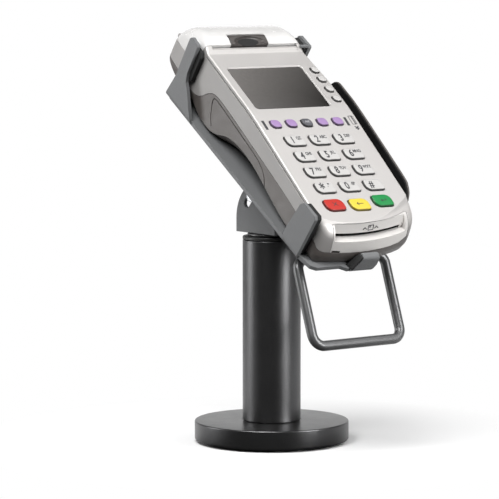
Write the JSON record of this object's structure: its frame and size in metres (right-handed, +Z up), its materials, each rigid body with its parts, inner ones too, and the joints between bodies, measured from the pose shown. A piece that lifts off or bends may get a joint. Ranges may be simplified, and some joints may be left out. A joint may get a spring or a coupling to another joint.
{
  "type": "card payment terminal on tilting pole stand",
  "caption": "Countertop card payment terminal with receipt printer, keypad, swipe rail and chip slot, held by a steel grip plate on a tilting, turning pole with a disc foot.",
  "frame": {"origin": "centre of the round foot, on the floor plane under its rubber pad", "axes": "+Z up along the pole, -Y toward the customer and the chip-card slot, +X to the side with the swipe rail"},
  "size_m": [0.102, 0.1693, 0.2732],
  "materials": {
    "black_powder_coat": "fine textured black powder coat",
    "grey_powder_coat": "smooth grey powder coat",
    "zinc_plated_steel": "bright zinc plate",
    "black_rubber": "matt",
    "silver_plastic": "satin silver-grey",
    "dark_grey_plastic": "satin warm dark grey",
    "black_plastic": "fine texture",
    "display_window": "glossy tinted window",
    "display_glass": "display module",
    "green_board": "circuit board",
    "light_key": "satin",
    "purple_key": "satin",
    "dark_key": "satin",
    "red_key": "satin",
    "yellow_key": "satin",
    "green_key": "satin",
    "silicone_sheet": "matt silicone",
    "thermal_paper": "uncoated white",
    "frosted_cover": "frosted near-clear",
    "white_nylon": "satin"
  },
  "bodies": {
    "stand": {"base_disc": "black_powder_coat", "base_pad": "black_rubber", "base_bolt": "zinc_plated_steel", "pole_tube": "black_powder_coat", "pole_cap": "black_plastic"},
    "turntable": {"swivel_disc": "black_powder_coat", "tilt_yoke": "grey_powder_coat", "tilt_pin": "grey_powder_coat"},
    "holder": {"plate_bracket": "grey_powder_coat", "lock_bolt": "zinc_plated_steel", "back_plate": "grey_powder_coat", "pad_upper_left": "black_rubber", "pad_upper_right": "black_rubber", "pad_lower_left": "black_rubber", "hook_pad": "black_rubber", "handle": "black_powder_coat", "bottom_case": "dark_grey_plastic", "top_case": "silver_plastic", "card_bezel": "silver_plastic", "display_window": "display_window", "display_module": "display_glass", "key_membrane": "silicone_sheet", "main_board": "green_board", "chip_reader": "black_plastic", "swipe_rail": "dark_grey_plastic", "magnetic_head": "zinc_plated_steel", "printer_frame": "black_plastic", "thermal_head": "zinc_plated_steel", "feed_motor": "zinc_plated_steel"},
    "cover": {"paper_cover": "frosted_cover"},
    "latch": {"cover_latch": "black_plastic"},
    "platen": {"platen_roller": "black_rubber"},
    "gear": {"drive_gear": "white_nylon"},
    "roll": {"paper_roll": "thermal_paper"},
    "key_1": {"key_1": "light_key"},
    "key_2": {"key_2": "light_key"},
    "key_3": {"key_3": "light_key"},
    "key_4": {"key_4": "light_key"},
    "key_5": {"key_5": "light_key"},
    "key_6": {"key_6": "light_key"},
    "key_7": {"key_7": "light_key"},
    "key_8": {"key_8": "light_key"},
    "key_9": {"key_9": "light_key"},
    "key_star": {"key_star": "light_key"},
    "key_0": {"key_0": "light_key"},
    "key_hash": {"key_hash": "light_key"},
    "key_cancel": {"key_cancel": "red_key"},
    "key_clear": {"key_clear": "yellow_key"},
    "key_enter": {"key_enter": "green_key"},
    "function_key_1": {"function_key_1": "purple_key"},
    "function_key_2": {"function_key_2": "purple_key"},
    "function_key_3": {"function_key_3": "dark_key"},
    "function_key_4": {"function_key_4": "purple_key"},
    "function_key_5": {"function_key_5": "purple_key"},
    "screen_key_1": {"screen_key_1": "light_key"},
    "screen_key_2": {"screen_key_2": "light_key"},
    "screen_key_3": {"screen_key_3": "light_key"},
    "screen_key_4": {"screen_key_4": "light_key"}
  },
  "joints": [
    {"name": "swivel", "type": "hinge", "parent": "stand", "child": "turntable", "pos_m": [0, 0, 0.137], "axis": [0, 0, 1], "range_deg": [-165, 165]},
    {"name": "tilt", "type": "hinge", "parent": "turntable", "child": "holder", "pos_m": [0, -0.005, 0.148], "axis": [1, 0, 0], "range_deg": [-28, 4]},
    {"name": "cover_hinge", "type": "hinge", "parent": "holder", "child": "cover", "pos_m": [0, 0.0538, 0.26681], "axis": [-1, 0, 0], "range_deg": [0, 80]},
    {"name": "latch_lift", "type": "hinge", "parent": "cover", "child": "latch", "pos_m": [0, 0.02386, 0.26599], "axis": [-1, 0, 0], "range_deg": [0, 18]},
    {"name": "platen_spin", "type": "hinge", "parent": "cover", "child": "platen", "pos_m": [0, 0.02409, 0.25834], "axis": [1, 0, 0], "continuous": true},
    {"name": "gear_spin", "type": "hinge", "parent": "holder", "child": "gear", "pos_m": [0, 0.02421, 0.24683], "axis": [1, 0, 0], "continuous": true},
    {"name": "roll_spin", "type": "hinge", "parent": "holder", "child": "roll", "pos_m": [0, 0.04068, 0.25103], "axis": [1, 0, 0], "continuous": true},
    {"name": "key_1_press", "type": "slide", "parent": "holder", "child": "key_1", "axis": [0, 0.6792, -0.734], "range_m": [0, 0.001], "stiffness_N_per_m": 300},
    {"name": "key_2_press", "type": "slide", "parent": "holder", "child": "key_2", "axis": [0, 0.6792, -0.734], "range_m": [0, 0.001], "stiffness_N_per_m": 300},
    {"name": "key_3_press", "type": "slide", "parent": "holder", "child": "key_3", "axis": [0, 0.6792, -0.734], "range_m": [0, 0.001], "stiffness_N_per_m": 300},
    {"name": "key_4_press", "type": "slide", "parent": "holder", "child": "key_4", "axis": [0, 0.6792, -0.734], "range_m": [0, 0.001], "stiffness_N_per_m": 300},
    {"name": "key_5_press", "type": "slide", "parent": "holder", "child": "key_5", "axis": [0, 0.6792, -0.734], "range_m": [0, 0.001], "stiffness_N_per_m": 300},
    {"name": "key_6_press", "type": "slide", "parent": "holder", "child": "key_6", "axis": [0, 0.6792, -0.734], "range_m": [0, 0.001], "stiffness_N_per_m": 300},
    {"name": "key_7_press", "type": "slide", "parent": "holder", "child": "key_7", "axis": [0, 0.6792, -0.734], "range_m": [0, 0.001], "stiffness_N_per_m": 300},
    {"name": "key_8_press", "type": "slide", "parent": "holder", "child": "key_8", "axis": [0, 0.6792, -0.734], "range_m": [0, 0.001], "stiffness_N_per_m": 300},
    {"name": "key_9_press", "type": "slide", "parent": "holder", "child": "key_9", "axis": [0, 0.6792, -0.734], "range_m": [0, 0.001], "stiffness_N_per_m": 300},
    {"name": "key_star_press", "type": "slide", "parent": "holder", "child": "key_star", "axis": [0, 0.6792, -0.734], "range_m": [0, 0.001], "stiffness_N_per_m": 300},
    {"name": "key_0_press", "type": "slide", "parent": "holder", "child": "key_0", "axis": [0, 0.6792, -0.734], "range_m": [0, 0.001], "stiffness_N_per_m": 300},
    {"name": "key_hash_press", "type": "slide", "parent": "holder", "child": "key_hash", "axis": [0, 0.6792, -0.734], "range_m": [0, 0.001], "stiffness_N_per_m": 300},
    {"name": "key_cancel_press", "type": "slide", "parent": "holder", "child": "key_cancel", "axis": [0, 0.6792, -0.734], "range_m": [0, 0.001], "stiffness_N_per_m": 300},
    {"name": "key_clear_press", "type": "slide", "parent": "holder", "child": "key_clear", "axis": [0, 0.6792, -0.734], "range_m": [0, 0.001], "stiffness_N_per_m": 300},
    {"name": "key_enter_press", "type": "slide", "parent": "holder", "child": "key_enter", "axis": [0, 0.6792, -0.734], "range_m": [0, 0.001], "stiffness_N_per_m": 300},
    {"name": "function_key_1_press", "type": "slide", "parent": "holder", "child": "function_key_1", "axis": [0, 0.6792, -0.734], "range_m": [0, 0.001], "stiffness_N_per_m": 300},
    {"name": "function_key_2_press", "type": "slide", "parent": "holder", "child": "function_key_2", "axis": [0, 0.6792, -0.734], "range_m": [0, 0.001], "stiffness_N_per_m": 300},
    {"name": "function_key_3_press", "type": "slide", "parent": "holder", "child": "function_key_3", "axis": [0, 0.6792, -0.734], "range_m": [0, 0.001], "stiffness_N_per_m": 300},
    {"name": "function_key_4_press", "type": "slide", "parent": "holder", "child": "function_key_4", "axis": [0, 0.6792, -0.734], "range_m": [0, 0.001], "stiffness_N_per_m": 300},
    {"name": "function_key_5_press", "type": "slide", "parent": "holder", "child": "function_key_5", "axis": [0, 0.6792, -0.734], "range_m": [0, 0.001], "stiffness_N_per_m": 300},
    {"name": "screen_key_1_press", "type": "slide", "parent": "holder", "child": "screen_key_1", "axis": [0, 0.6143, -0.7891], "range_m": [0, 0.001], "stiffness_N_per_m": 300},
    {"name": "screen_key_2_press", "type": "slide", "parent": "holder", "child": "screen_key_2", "axis": [0, 0.6143, -0.7891], "range_m": [0, 0.001], "stiffness_N_per_m": 300},
    {"name": "screen_key_3_press", "type": "slide", "parent": "holder", "child": "screen_key_3", "axis": [0, 0.6143, -0.7891], "range_m": [0, 0.001], "stiffness_N_per_m": 300},
    {"name": "screen_key_4_press", "type": "slide", "parent": "holder", "child": "screen_key_4", "axis": [0, 0.6143, -0.7891], "range_m": [0, 0.001], "stiffness_N_per_m": 300}
  ],
  "couplings": [
    {"joint": "gear_spin", "follows": "platen_spin", "ratio": -0.5}
  ]
}
